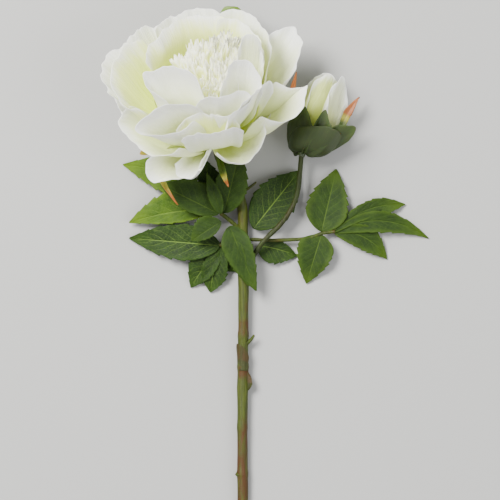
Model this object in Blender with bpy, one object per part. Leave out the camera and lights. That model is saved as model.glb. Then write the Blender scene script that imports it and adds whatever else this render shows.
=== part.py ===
"""A cut peony stem lying on a flat surface: one open double bloom, one side bud, divided leaves.

Metres, +Z up. The surface is z = 0. +Y runs up the stem towards the bloom, +X towards the bud.
The origin is the middle of the outline's box on that surface. Sizes below are in millimetres.
"""

import math

import bmesh
import bpy
import numpy as np
from mathutils import Vector

MM = 0.001

# ---------------------------------------------------------------- driving sizes, in millimetres
PETAL_THICKNESS = 0.7
SEPAL_THICKNESS = 0.7
LEAF_THICKNESS = 0.8
STEM_RADIUS = 3.5
PROFILE_STEPS = 24
ORIGIN_SHIFT = (-1.39, 0.59, 0.0)

BLOOM_BASE = (-32.0, 87.0, 29.1)
BLOOM_TILT = 58.0
BLOOM_SWING = 11.0
BUD_BASE = (24.0, 75.5, 16.7)
BUD_TILT = 90.0
BUD_SWING = -21.0


# ---------------------------------------------------------------- clearing and materials
def clear_scene():
    for old in list(bpy.data.objects):
        bpy.data.objects.remove(old, do_unlink=True)


def material(name, colour, roughness):
    made = bpy.data.materials.get(name)
    if made is None:
        made = bpy.data.materials.new(name)
        made.use_nodes = True
        shader = made.node_tree.nodes["Principled BSDF"]
        shader.inputs["Base Color"].default_value = (*colour, 1.0)
        shader.inputs["Roughness"].default_value = roughness
        shader.inputs["Metallic"].default_value = 0.0
        made.diffuse_color = (*colour, 1.0)
    return made


def petal_white():
    return material("petal_white", (0.88, 0.89, 0.84), 0.6)


def tuft_cream():
    return material("tuft_cream", (0.86, 0.88, 0.66), 0.6)


def sepal_green():
    return material("sepal_green", (0.32, 0.36, 0.12), 0.55)


def leaf_green():
    return material("leaf_green", (0.10, 0.22, 0.05), 0.5)


def stem_green():
    return material("stem_green", (0.27, 0.27, 0.10), 0.5)


# ---------------------------------------------------------------- mesh helpers
def add_object(name, bm, finish):
    """The bmesh, in millimetres, as a named object in metres, moved so that the origin is mid-box."""
    bmesh.ops.translate(bm, vec=ORIGIN_SHIFT, verts=bm.verts)
    bmesh.ops.scale(bm, vec=(MM, MM, MM), verts=bm.verts)
    mesh = bpy.data.meshes.new(name)
    bm.to_mesh(mesh)
    bm.free()
    mesh.shade_smooth()
    mesh.materials.append(finish)
    obj = bpy.data.objects.new(name, mesh)
    bpy.context.scene.collection.objects.link(obj)
    return obj


def grid_faces(bm, points):
    """Quads between neighbouring points of a rows x columns x 3 array."""
    rows, columns = points.shape[:2]
    verts = [[bm.verts.new(points[i, j]) for j in range(columns)] for i in range(rows)]
    for i in range(rows - 1):
        for j in range(columns - 1):
            bm.faces.new((verts[i][j], verts[i][j + 1], verts[i + 1][j + 1], verts[i + 1][j]))


def sheet_object(name, grids, thickness, finish):
    """One thin closed piece from one or more point grids that share their common edge points."""
    bm = bmesh.new()
    for points in grids:
        grid_faces(bm, points)
    bmesh.ops.remove_doubles(bm, verts=bm.verts, dist=0.01)
    bmesh.ops.recalc_face_normals(bm, faces=bm.faces)
    obj = add_object(name, bm, finish)
    wall = obj.modifiers.new("wall", "SOLIDIFY")
    wall.thickness = thickness * MM
    wall.offset = 0.0
    wall.use_even_offset = False
    return obj


# ---------------------------------------------------------------- petals on nested cups
class Cup:
    """A family of nested cups about one axis, on which petals lie without meeting.

    A petal point is an azimuth about the axis, a reach along the petal from its root, and a depth,
    0 for the innermost cup and 1 for the outermost. Lean is the angle between petal and axis.
    """

    def __init__(self, base, tilt, swing, root_radius, root_height, lean, flare, fade, curl, full_reach):
        self.base = np.array(base)
        tilt, swing = math.radians(tilt), math.radians(swing)
        self.axis = np.array(
            [-math.sin(tilt) * math.sin(swing), math.sin(tilt) * math.cos(swing), math.cos(tilt)]
        )
        self.east = np.array([math.cos(swing), math.sin(swing), 0.0])
        self.north = np.cross(self.axis, self.east)
        self.root_radius = root_radius
        self.root_height = root_height
        self.lean, self.flare, self.fade, self.curl = lean, flare, fade, curl
        self.full_reach = full_reach

    def between(self, ends, depth):
        return ends[0] + (ends[1] - ends[0]) * depth

    def profile(self, azimuth, reach, depth):
        """(radius, height) of the petal point, from the lean angle added up along the petal."""
        radius = self.root_radius + 0.0 * reach
        height = self.between(self.root_height, depth) + 0.0 * reach
        inner, outer = self.lean(azimuth)
        for step in range(PROFILE_STEPS):
            at = reach * (step + 0.5) / PROFILE_STEPS
            angle = np.radians(
                inner
                + (outer - inner) * depth
                + self.between(self.flare, depth) * np.exp(-at / self.between(self.fade, depth))
                + self.between(self.curl, depth) * (at / self.full_reach) ** 2
            )
            radius = radius + reach / PROFILE_STEPS * np.sin(angle)
            height = height + reach / PROFILE_STEPS * np.cos(angle)
        return radius, height

    def point(self, azimuth, reach, depth):
        radius, height = self.profile(azimuth, reach, depth)
        return (
            self.base
            + (radius * np.cos(azimuth))[..., None] * self.east
            + (radius * np.sin(azimuth))[..., None] * self.north
            + height[..., None] * self.axis
        )

    def outward(self, azimuth, reach, depth):
        """Unit vector square to the cup, away from its axis."""
        step = 0.02
        along = self.point(azimuth, reach + step, depth) - self.point(azimuth, reach, depth)
        around = self.point(azimuth + step, reach, depth) - self.point(azimuth - step, reach, depth)
        normal = np.cross(along, around)
        return -normal / np.linalg.norm(normal, axis=-1, keepdims=True)


def petal_width(along, claw):
    """Share of a petal's half width, from its narrow claw to its broad blade."""
    return claw + (1.0 - claw) * np.sin(0.64 * math.pi * along) ** 0.85


def petal_sheet(cup, depth, azimuth, length, half_width, columns, rows, claw=0.12, tip=0.26, lap=1.1):
    """Grid of points of one petal. lap sets one side edge outwards and the other inwards."""
    across = np.linspace(-1.0, 1.0, columns)[None, :]
    along = np.linspace(0.0, 1.0, rows)[:, None]
    middle = math.radians(azimuth) + 0.0 * across * along
    reach = length * along * (1.0 - tip * np.abs(across) ** 2.3)
    radius, _ = cup.profile(middle, length * along + 0.0 * across, depth)
    around = middle + across * half_width * petal_width(along, claw) / radius
    points = cup.point(around, reach, depth)
    side_step = lap * across + 0.0 * along
    return points + side_step[..., None] * cup.outward(around, reach, depth)


def bump(azimuth, centre, spread):
    """1 at the centre azimuth, falling off to either side; degrees."""
    away = (np.degrees(azimuth) - centre + 180.0) % 360.0 - 180.0
    return np.exp(-((away / spread) ** 2))


def bloom_lean(azimuth):
    """Lean of the innermost and outermost cups; the outermost sags at the lower left and the lower right."""
    left_sag = 34.0 * bump(azimuth, 228.0, 24.0)
    right_sag = 22.0 * bump(azimuth, 288.0, 22.0)
    outer = 49.0 - 7.0 * np.sin(azimuth) + left_sag + right_sag
    return 3.0 + 0.0 * azimuth, outer


def bud_lean(azimuth):
    return -4.0 + 0.0 * azimuth, 4.0 + 0.0 * azimuth


BLOOM = Cup(BLOOM_BASE, BLOOM_TILT, BLOOM_SWING, 7.0, (10.0, -5.0), bloom_lean, (80.0, 40.0), (21.0, 14.0),
            (-26.0, 6.0), 85.0)
BUD = Cup(BUD_BASE, BUD_TILT, BUD_SWING, 3.2, (4.0, -1.0), bud_lean, (84.0, 84.0), (9.0, 10.0),
          (-14.0, -10.0), 50.0)

# Each petal and sepal: its depth in the cups, its azimuth in degrees, its length and its half width.
BLOOM_PETALS = {
    "inner_petal_north": (0.08, 108, 73, 36),
    "inner_petal_east": (0.08, 2, 74, 24),
    "inner_petal_southeast": (0.08, -42, 68, 20),
    "inner_petal_south": (0.08, -84, 56, 26),
    "inner_petal_southwest": (0.08, 222, 74, 31),
    "middle_petal_west": (0.45, 170, 77, 41),
    "middle_petal_north": (0.45, 116, 77, 38),
    "middle_petal_northeast": (0.45, 62, 76, 35),
    "middle_petal_east": (0.45, 16, 72, 32),
    "middle_petal_southeast": (0.45, -34, 68, 30),
    "middle_petal_south": (0.45, -84, 52, 24),
    "middle_petal_southwest": (0.45, 225, 69, 32),
    "outer_petal_west": (0.92, 164, 76, 34),
    "outer_petal_northwest": (0.92, 129, 74, 34),
    "outer_petal_north": (0.92, 92, 76, 34),
    "outer_petal_northeast": (0.92, 31, 84, 30),
    "outer_petal_east": (0.92, -18, 68, 27),
    "outer_petal_southeast": (0.92, -62, 50, 25),
    "outer_petal_south": (0.92, -95, 45, 24),
    "outer_petal_hanging": (0.92, 232, 55, 26),
    "outer_petal_southwest": (0.92, 196, 61, 28),
}

BLOOM_SEPALS = {
    "sepal_north": (1.25, 100, 36, 9),
    "sepal_east": (1.25, 12, 68, 5),
    "sepal_south": (1.25, -72, 34, 6),
    "sepal_hanging": (1.25, 235, 52, 8),
    "sepal_west": (1.25, 200, 54, 7),
}

BUD_PETALS = {
    "bud_petal_top": (0.1, -75, 52, 14),
    "bud_petal_left": (0.1, 195, 50, 14),
    "bud_petal_under": (0.1, 105, 46, 14),
    "bud_petal_right": (0.1, 15, 52, 14),
}

BUD_SEPALS = {
    "bud_sepal_left": (1.0, 210, 35, 13),
    "bud_sepal_top": (1.0, -82, 32, 9),
    "bud_sepal_right": (1.0, -30, 36, 11),
    "bud_sepal_thin": (1.0, 16, 46, 3),
    "bud_sepal_under": (1.0, 100, 30, 13),
}


def make_petals(cup, rows_of_sizes, thickness, finish, columns, rows, tip, lap):
    for name, (depth, azimuth, length, half_width) in rows_of_sizes.items():
        points = petal_sheet(cup, depth, azimuth, length, half_width, columns, rows, tip=tip, lap=lap)
        sheet_object(name, [points], thickness, finish)


# ---------------------------------------------------------------- turned pieces on a flower's axis
def turned(name, cup, outline, finish, ribs=0, rib_depth=0.0):
    """Closed piece turned about a cup's axis from (radius, height) pairs, from bottom to top, with ribs."""
    columns = 3 * ribs if ribs else 16
    bm = bmesh.new()
    rings = []
    for radius, height in outline[1:-1]:
        ring = []
        for turn in range(columns):
            angle = 2.0 * math.pi * turn / columns
            reach = radius * (1.0 + rib_depth * math.cos(ribs * angle))
            place = cup.base + reach * (math.cos(angle) * cup.east + math.sin(angle) * cup.north)
            ring.append(bm.verts.new(place + height * cup.axis))
        rings.append(ring)
    for lower, upper in zip(rings, rings[1:]):
        for turn in range(columns):
            after = (turn + 1) % columns
            bm.faces.new((lower[turn], lower[after], upper[after], upper[turn]))
    for ring, (_, height) in ((rings[0], outline[0]), (rings[-1], outline[-1])):
        pole = bm.verts.new(cup.base + height * cup.axis)
        for turn in range(columns):
            bm.faces.new((ring[turn], ring[(turn + 1) % columns], pole))
    bmesh.ops.recalc_face_normals(bm, faces=bm.faces)
    return add_object(name, bm, finish)


# ---------------------------------------------------------------- stems and stalks
def smooth_route(points, step):
    """Points about one step apart on a smooth curve through the given ones."""
    points = [Vector(point) for point in points]
    points = [2 * points[0] - points[1]] + points + [2 * points[-1] - points[-2]]
    route = []
    for before, start, end, after in zip(points, points[1:], points[2:], points[3:]):
        pieces = max(2, round((end - start).length / step))
        for piece in range(pieces):
            t = piece / pieces
            route.append(
                0.5 * (2 * start + (end - before) * t + (2 * before - 5 * start + 4 * end - after) * t**2
                       + (3 * start - before - 3 * end + after) * t**3)
            )
    return route + [points[-2]]


def tube_mesh(bm, route, radius_at, sides):
    """Closed tube along a route; radius_at gives the radius for the share of the way along."""
    rings = []
    for i, place in enumerate(route):
        ahead = (route[min(i + 1, len(route) - 1)] - route[max(i - 1, 0)]).normalized()
        side = ahead.cross(Vector((0.0, 0.0, 1.0)))
        side = side.normalized() if side.length > 0.1 else Vector((1.0, 0.0, 0.0))
        up = side.cross(ahead)
        radius = radius_at(i / (len(route) - 1))
        turns = [2.0 * math.pi * (k + 0.5) / sides for k in range(sides)]
        rings.append([
            bm.verts.new(place + radius * (math.cos(turn) * side + math.sin(turn) * up)) for turn in turns
        ])
    for lower, upper in zip(rings, rings[1:]):
        for k in range(sides):
            bm.faces.new((lower[k], lower[(k + 1) % sides], upper[(k + 1) % sides], upper[k]))
    bm.faces.new(rings[0])
    bm.faces.new(rings[-1])
    bmesh.ops.recalc_face_normals(bm, faces=bm.faces)


def stalk(name, points, start_radius, end_radius, step=5.0):
    bm = bmesh.new()
    route = smooth_route(points, step)
    tube_mesh(bm, route, lambda t: start_radius + (end_radius - start_radius) * t, sides=8)
    return add_object(name, bm, stem_green())


# ---------------------------------------------------------------- leaves
def leaf_blade(base, tip, half_width, lift, bend, fold, roll, widest, columns, rows):
    """Grid of points of one simple leaflet, from its base to its pointed tip."""
    base, tip = np.array(base, float), np.array(tip, float)
    ahead = (tip - base) / np.linalg.norm(tip - base)
    side = np.cross([0.0, 0.0, 1.0], ahead)
    side /= np.linalg.norm(side)
    up = np.cross(ahead, side)
    side, up = (
        math.cos(math.radians(roll)) * side + math.sin(math.radians(roll)) * up,
        math.cos(math.radians(roll)) * up - math.sin(math.radians(roll)) * side,
    )
    along = np.linspace(0.0, 1.0, rows)[:, None]
    across = np.linspace(-1.0, 1.0, columns)[None, :]
    shape = math.log(0.5) / math.log(widest)
    width = half_width * (0.05 + 0.95 * np.sin(math.pi * along**shape) ** 0.9)
    arch = 4.0 * along * (1.0 - along)
    offset_side = across * width + bend * arch
    offset_up = lift * arch + fold * np.abs(across) * width
    middle = base + along[..., None] * (tip - base) + 0.0 * across[..., None]
    return middle + offset_side[..., None] * side + offset_up[..., None] * up


def leaflet(name, base, tip, half_width, lift=2.0, bend=0.0, fold=0.12, roll=0.0, widest=0.42):
    points = leaf_blade(base, tip, half_width, lift, bend, fold, roll, widest, columns=5, rows=8)
    sheet_object(name, [points], LEAF_THICKNESS, leaf_green())


def lobed_blade(base, lobes, lobe_width, rise, drop, columns, rows):
    """Grid of points of a leaflet that fans out from its base into lobes, each a (direction, length)."""
    first, last = min(lobes)[0] - 1.6 * lobe_width, max(lobes)[0] + 1.6 * lobe_width
    directions = np.linspace(first, last, columns)
    reaches = np.max(
        [length * np.exp(-(((directions - at) / lobe_width) ** 2)) for at, length in lobes], axis=0
    )
    angles = np.radians(directions)[None, :]
    along = np.linspace(0.06, 1.0, rows)[:, None]
    reach = along * reaches[None, :]
    height = base[2] + rise * np.sin(math.pi * along) - drop * along + 0.0 * reach
    return np.stack([base[0] + reach * np.cos(angles), base[1] + reach * np.sin(angles), height], axis=-1)


def lobed_leaflet(name, base, lobes, lobe_width, rise, drop):
    points = lobed_blade(base, lobes, lobe_width, rise, drop, columns=19, rows=6)
    sheet_object(name, [points], LEAF_THICKNESS, leaf_green())


def make_leaves():
    leaflet("upper_left_leaflet_far", (-38.7, 42.0, 7.0), (-91.8, 67.2, 0.4), 11.5, lift=1.0)
    leaflet("upper_left_leaflet_low", (-36.0, 39.0, 9.0), (-88.0, 30.0, 4.0), 13.0, lift=1.5, bend=-4.0)
    leaflet("upper_left_leaflet_dark", (-31.5, 37.0, 14.0), (-67.5, 53.8, 16.0), 10.5, lift=2.0)
    leaflet("upper_left_leaflet_narrow", (-30.5, 39.0, 19.0), (-39.0, 60.8, 23.0), 4.5, lift=1.0)
    leaflet("upper_left_leaflet_bent", (-30.0, 30.0, 17.0), (-48.3, 17.0, 15.0), 8.0, lift=1.5)
    leaflet("upper_leaflet_right", (-26.0, 39.0, 13.0), (-16.5, 76.0, 25.5), 9.0, lift=1.0)
    leaflet("upper_leaflet_left", (-31.5, 41.0, 9.0), (-40.0, 69.0, 13.0), 6.0, lift=-1.0)
    leaflet("lower_left_leaflet_long", (-32.0, 15.6, 7.5), (-88.0, 19.8, 0.4), 12.5, lift=2.0)
    lobed_leaflet("lower_left_leaflet_lobed", (-29.5, 13.0, 7.0), [(234, 31), (258, 31), (298, 22)],
                  lobe_width=22.0, rise=2.0, drop=6.6)
    leaflet("lower_left_leaflet_front", (-22.0, 27.0, 14.0), (-6.5, -14.0, 13.0), 9.5, lift=1.0)
    leaflet("middle_leaflet_large", (-8.0, 27.5, 6.5), (21.4, 64.6, 4.0), 14.0, lift=1.0)
    leaflet("middle_leaflet_small", (-6.0, 14.0, 4.0), (20.2, 8.3, 0.4), 9.0, lift=0.5)
    leaflet("right_leaflet_up", (36.2, 25.0, 6.0), (45.8, 64.6, 0.4), 15.0, lift=1.5, widest=0.36)
    leaflet("right_leaflet_down", (35.5, 19.5, 6.0), (25.9, -9.6, 0.4), 13.0, lift=1.5, widest=0.36)
    lobed_leaflet("right_leaflet_lobed", (45.5, 22.5, 6.0), [(-25, 38), (-3, 62), (21, 50)],
                  lobe_width=14.0, rise=3.0, drop=5.6)


def make_stems():
    bm = bmesh.new()
    neck = [BLOOM.base - drop * BLOOM.axis for drop in (11.4, 18.0)] + [(-22.5, 60.0, 13.0)]
    shaft = [(-15.5, 42.0, 8.5), (-14.4, 20.0, 6.5), (-14.2, -30.0, 5.0), (-14.8, -100.0, 4.2),
             (-14.4, -167.0, 3.5)]
    tube_mesh(bm, smooth_route(neck + shaft, 10.0), lambda t: STEM_RADIUS, sides=10)
    add_object("main_stem", bm, stem_green())
    stalk("bud_stem",
          [(-8.0, 8.0, 9.5), (-1.0, 18.0, 11.5), (11.8, 31.4, 12.5), (20.0, 47.0, 13.5), (23.0, 71.4, 15.5)],
          start_radius=1.4, end_radius=1.8)
    stalk("right_leaf_stalk", [(-9.8, 19.0, 7.0), (6.0, 18.5, 6.5), (25.0, 19.5, 6.0), (43.0, 23.0, 6.0)],
          start_radius=1.3, end_radius=1.1)
    stalk("upper_left_stalk", [(-18.7, 28.0, 8.0), (-25.0, 33.0, 11.0), (-28.0, 35.0, 14.0)],
          start_radius=1.5, end_radius=1.2, step=3.0)
    stalk("lower_left_stalk", [(-18.7, 20.0, 7.0), (-24.0, 17.5, 7.5), (-29.0, 15.5, 7.5)],
          start_radius=1.5, end_radius=1.2, step=3.0)


def main():
    clear_scene()
    make_petals(BLOOM, BLOOM_PETALS, PETAL_THICKNESS, petal_white(), 9, 8, tip=0.26, lap=1.6)
    make_petals(BLOOM, BLOOM_SEPALS, SEPAL_THICKNESS, sepal_green(), 3, 8, tip=0.5, lap=0.0)
    make_petals(BUD, BUD_PETALS, PETAL_THICKNESS, petal_white(), 7, 8, tip=0.3, lap=1.3)
    make_petals(BUD, BUD_SEPALS, SEPAL_THICKNESS, sepal_green(), 5, 6, tip=0.5, lap=1.0)
    turned("receptacle", BLOOM,
           [(0, -11), (4.2, -11), (6.0, -6), (6.0, 6), (5.0, 10), (0, 10.6)], stem_green())
    turned("petaloid_tuft", BLOOM,
           [(0, 11.4), (4.5, 11.6), (8, 17), (12, 25), (17, 38), (20, 50), (17, 58), (0, 61)],
           tuft_cream(), ribs=8, rib_depth=0.08)
    turned("bud_calyx_base", BUD, [(0, -3.5), (2.4, -3.5), (2.6, 0), (2.2, 4), (0, 4.4)], stem_green())
    make_leaves()
    make_stems()


if __name__ == "__main__":
    main()
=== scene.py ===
"""A cut peony stem lying on a pale floor: the finish of its petals, leaves and stems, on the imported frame.

The sizes in the tables are in millimetres; the meshes are in metres, like the frame.
"""

import math

import bpy
import numpy as np
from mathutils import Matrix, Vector


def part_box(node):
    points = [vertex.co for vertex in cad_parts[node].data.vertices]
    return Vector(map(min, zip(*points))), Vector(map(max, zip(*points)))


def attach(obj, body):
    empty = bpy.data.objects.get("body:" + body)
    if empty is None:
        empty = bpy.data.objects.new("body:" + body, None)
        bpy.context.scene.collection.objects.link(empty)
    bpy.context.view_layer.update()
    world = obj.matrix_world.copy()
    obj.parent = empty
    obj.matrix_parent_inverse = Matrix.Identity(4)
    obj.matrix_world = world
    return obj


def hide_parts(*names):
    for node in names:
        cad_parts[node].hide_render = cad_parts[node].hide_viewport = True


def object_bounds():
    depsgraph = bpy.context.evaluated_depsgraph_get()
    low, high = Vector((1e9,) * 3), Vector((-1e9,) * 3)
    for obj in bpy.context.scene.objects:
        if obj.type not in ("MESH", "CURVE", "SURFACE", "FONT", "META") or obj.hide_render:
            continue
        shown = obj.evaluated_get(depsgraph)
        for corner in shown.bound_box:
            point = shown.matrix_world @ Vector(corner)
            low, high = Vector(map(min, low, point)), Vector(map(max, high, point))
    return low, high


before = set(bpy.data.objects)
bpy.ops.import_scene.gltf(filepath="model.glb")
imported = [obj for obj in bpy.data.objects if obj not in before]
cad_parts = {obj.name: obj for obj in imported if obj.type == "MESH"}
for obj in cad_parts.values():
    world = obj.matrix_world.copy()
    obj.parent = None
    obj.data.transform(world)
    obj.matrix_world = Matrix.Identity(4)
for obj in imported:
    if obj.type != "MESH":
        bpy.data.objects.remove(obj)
CAD_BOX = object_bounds()

MM = 0.001


# -------- places taken from the frame
def box_middle(node):
    """The middle of a node's box, in millimetres."""
    low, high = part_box(node)
    return np.array((low + high) / 2) / MM


# Where the tables put the bloom's base, and where the frame has it: the difference moves every table.
DESIGN_BLOOM_BASE = np.array((-32.0, 87.0, 29.1))
BLOOM_BASE = box_middle("receptacle")
SHIFT = BLOOM_BASE - DESIGN_BLOOM_BASE
BUD_BASE = box_middle("bud_calyx_base")

# -------- thicknesses in millimetres, and seeds
PETAL_THICKNESS = 0.32
STRAP_THICKNESS = 0.22
SEPAL_THICKNESS = 0.6
LEAF_THICKNESS = 0.5
SCALE_THICKNESS = 0.35

# The random seed of the first piece of each kind; its other pieces take the seeds that follow.
SEEDS = {
    "bloom_petal": 7, "bloom_extra": 37, "bloom_sepal": 47, "bud_petal": 67, "bud_sepal": 77,
    "calyx_cup": 87, "tuft": 107, "leaflet": 207, "narrow_sepal": 307, "stem_scale": 407,
}


# -------- shader helpers
def shader_node(tree, kind, inputs=None, **settings):
    """A node with its settings; an input is a value or another node's output socket."""
    made = tree.nodes.new("ShaderNode" + kind)
    for name, value in settings.items():
        setattr(made, name, value)
    for key, value in (inputs or {}).items():
        if isinstance(value, bpy.types.NodeSocket):
            tree.links.new(value, made.inputs[key])
        else:
            made.inputs[key].default_value = value
    return made


def maths(tree, operation, first, second=0.0, third=0.0, clamp=False):
    inputs = {0: first, 1: second, 2: third}
    return shader_node(tree, "Math", inputs, operation=operation, use_clamp=clamp).outputs[0]


def ramp(tree, value, low, high):
    """0 below low, 1 above high, and smooth between."""
    inputs = {"Value": value, "From Min": low, "From Max": high, "To Min": 0.0, "To Max": 1.0}
    return shader_node(tree, "MapRange", inputs, interpolation_type="SMOOTHSTEP").outputs["Result"]


def product(tree, first, second):
    return maths(tree, "MULTIPLY", first, second)


def larger(tree, first, second):
    return maths(tree, "MAXIMUM", first, second)


def opposite(tree, value):
    """1 minus the value, and never below 0."""
    return maths(tree, "SUBTRACT", 1.0, value, clamp=True)


# The sockets of a colour mix share their names, so they are called by their places.
MIX_SHARE, MIX_FIRST, MIX_SECOND = 0, 6, 7
MIX_RESULT = 2


def blend(tree, share, first, second):
    """The first colour where share is 0, and the second where it is 1."""
    inputs = {MIX_SHARE: share, MIX_FIRST: first, MIX_SECOND: second}
    return shader_node(tree, "Mix", inputs, data_type="RGBA").outputs[MIX_RESULT]


def multiplied(colour, factor):
    """A colour made darker or lighter by a factor."""
    return tuple(factor * part for part in colour[:3]) + (1.0,)


def noise(tree, vector, scale, detail=3.0, roughness=0.5):
    inputs = {"Vector": vector, "Scale": scale, "Detail": detail, "Roughness": roughness}
    return shader_node(tree, "TexNoise", inputs).outputs["Fac"]


def stretched_noise(tree, vector, scales, detail, roughness):
    """Noise with a scale for each axis: a smaller one draws it out."""
    mapped = shader_node(tree, "Mapping", {"Vector": vector, "Scale": scales}).outputs["Vector"]
    return noise(tree, mapped, 1.0, detail, roughness)


def new_group(name, inputs, outputs):
    """A shader node group; inputs are (name, socket type, value), outputs are (name, socket type)."""
    tree = bpy.data.node_groups.new(name, "ShaderNodeTree")
    for label, kind, value in inputs:
        tree.interface.new_socket(label, in_out="INPUT", socket_type=kind).default_value = value
    for label, kind in outputs:
        tree.interface.new_socket(label, in_out="OUTPUT", socket_type=kind)
    return tree, tree.nodes.new("NodeGroupInput"), tree.nodes.new("NodeGroupOutput")


def use_group(tree, group, **inputs):
    """A group's node; an underscore in an input's name is a space in the socket's."""
    made = shader_node(tree, "Group", node_tree=group)
    for label, value in inputs.items():
        made.inputs[label.replace("_", " ")].default_value = value
    return made


def new_material(name, inputs):
    """A material, its node tree and its Principled shader with the given inputs."""
    made = bpy.data.materials.new(name)
    made.use_nodes = True
    shader = made.node_tree.nodes["Principled BSDF"]
    for key, value in inputs.items():
        shader.inputs[key].default_value = value
    return made, made.node_tree, shader


def bump(tree, height, strength, distance, shader):
    """Bumps the shader's surface; the distance is in metres."""
    inputs = {"Height": height, "Strength": strength, "Distance": distance}
    made = shader_node(tree, "Bump", inputs)
    tree.links.new(made.outputs["Normal"], shader.inputs["Normal"])


def surface_map(tree):
    """The piece's own map, and its two parts: across from side to side and along from root to tip."""
    place = shader_node(tree, "UVMap", uv_map="UVMap").outputs["UV"]
    split = shader_node(tree, "SeparateXYZ", {"Vector": place})
    return place, split.outputs["X"], split.outputs["Y"]


def from_midline(tree, across):
    """0 on the midline of a piece's map and 1 on its two sides."""
    return maths(tree, "ABSOLUTE", maths(tree, "MULTIPLY_ADD", across, 2.0, -1.0))


# -------- shared effects
NUMBER = "NodeSocketFloat"
COLOUR = "NodeSocketColor"
WHITE_BLADE = (0.94, 0.94, 0.915, 1)
CREAM_BLADE = (0.97, 0.96, 0.84, 1)
# The streak colour: partly the petal's own fine streaks, partly painted shade in its folds.
STREAK_AND_FOLD_SHADE = (0.80, 0.83, 0.52, 1)


def make_petal_group():
    """Petal colour from throat to rim, with fine lengthwise streaks and a pale rim; the streaks are partly
    the petal's own and partly painted shade in its folds.
    """
    tree, given, result = new_group(
        "petal_tint",
        [("Throat Reach", NUMBER, 0.4), ("Throat Amount", NUMBER, 0.6),
         ("Throat Colour", COLOUR, (0.62, 0.68, 0.22, 1)), ("Blade Colour", COLOUR, WHITE_BLADE)],
        [("Colour", COLOUR), ("Relief", NUMBER)],
    )
    place, _, along = surface_map(tree)
    streaks = stretched_noise(tree, place, (46.0, 3.0, 1.0), 5.0, 0.65)
    creases = stretched_noise(tree, place, (11.0, 5.0, 1.0), 5.0, 0.6)
    blotches = stretched_noise(tree, place, (3.9, 2.6, 1.3), 2.0, 0.5)
    reach = maths(tree, "ADD", along, maths(tree, "MULTIPLY_ADD", blotches, 0.35, -0.17))
    reach = maths(tree, "ADD", reach, maths(tree, "MULTIPLY_ADD", streaks, 0.16, -0.08))
    below = maths(tree, "DIVIDE", reach, given.outputs["Throat Reach"])
    rim = product(tree, ramp(tree, reach, 0.84, 1.02), 0.85)
    throat = product(tree, opposite(tree, ramp(tree, below, 0.15, 1.6)), opposite(tree, rim))
    share = maths(tree, "MULTIPLY", throat, given.outputs["Throat Amount"], clamp=True)
    tinted = blend(tree, share, given.outputs["Blade Colour"], given.outputs["Throat Colour"])
    # Painted shade: the colour darkens along the streaks, which are also the folds of the relief.
    shade = product(tree, ramp(tree, streaks, 0.45, 0.75), 0.25)
    tree.links.new(blend(tree, shade, tinted, STREAK_AND_FOLD_SHADE), result.inputs["Colour"])
    tree.links.new(maths(tree, "ADD", streaks, creases), result.inputs["Relief"])
    return tree


# How many pairs of side veins a leaf has, and how steeply they run forward.
VEIN_PAIRS = 8.0
VEIN_SLOPE = 2.6


def vein_lines(tree, along, side, wander, pairs, slope, width):
    """Thin lines that leave the midrib and run forward, fading towards the margin."""
    bent = maths(tree, "POWER", side, 0.8)
    phase = maths(tree, "SUBTRACT", product(tree, along, pairs), product(tree, bent, slope))
    phase = maths(tree, "ADD", phase, wander)
    away = maths(tree, "ABSOLUTE", maths(tree, "SUBTRACT", maths(tree, "FRACT", phase), 0.5))
    lines = opposite(tree, ramp(tree, away, 0.0, width))
    return product(tree, lines, maths(tree, "SUBTRACT", 1.15, side, clamp=True))


def make_vein_group():
    """Leaf veins: a midrib, side veins that run forward, and a fine net between."""
    labels = ("Veins", "Midrib", "Net", "Margin", "Along")
    outputs = [(label, NUMBER) for label in labels]
    tree, given, result = new_group("leaf_veins", [("Net Scale", NUMBER, 30.0)], outputs)
    place, across, along = surface_map(tree)
    side = from_midline(tree, across)
    midrib = opposite(tree, ramp(tree, side, 0.005, 0.045))
    wander = maths(tree, "MULTIPLY_ADD", noise(tree, place, 5.0, 2.0), 0.7, -0.35)
    veins = vein_lines(tree, along, side, wander, VEIN_PAIRS, VEIN_SLOPE, 0.055)
    branches = vein_lines(tree, along, side, wander, 2.6 * VEIN_PAIRS, -0.9 * VEIN_SLOPE, 0.12)
    cell_inputs = {"Vector": place, "Scale": given.outputs["Net Scale"]}
    cells = shader_node(tree, "TexVoronoi", cell_inputs, feature="DISTANCE_TO_EDGE")
    net = opposite(tree, ramp(tree, cells.outputs["Distance"], 0.0, 0.12))
    net = larger(tree, net, product(tree, branches, 0.8))
    for label, value in zip(labels, (veins, midrib, net, side, along)):
        tree.links.new(value, result.inputs[label])
    return tree


PETAL_TINT = make_petal_group()
LEAF_VEINS = make_vein_group()


# -------- materials
def petal_finish(name, reach, amount, throat, blade=WHITE_BLADE, painted_glow=0.0):
    """Thin soft fabric. The throat colour is amount strong at the root and half gone at about reach.

    The emission strength glow is painted light: the petal's own colour is emitted, standing for the light
    that comes through a petal from behind, and it lifts the petal's shade.
    """
    made, tree, shader = new_material(name, {
        "Roughness": 0.62, "Specular IOR Level": 0.3, "Sheen Weight": 0.08, "Emission Strength": painted_glow,
        "Subsurface Weight": 0.35, "Subsurface Radius": (1.0, 0.95, 0.7), "Subsurface Scale": 0.003,
    })
    tint = use_group(tree, PETAL_TINT, Throat_Reach=reach, Throat_Amount=amount, Throat_Colour=throat,
                     Blade_Colour=blade)
    tree.links.new(tint.outputs["Colour"], shader.inputs["Base Color"])
    # Painted light: the petal's colour is emitted as well, so the petal glows without a lamp.
    if painted_glow:
        tree.links.new(tint.outputs["Colour"], shader.inputs["Emission Color"])
    bump(tree, tint.outputs["Relief"], 0.55, 0.0012, shader)
    return made


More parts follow.
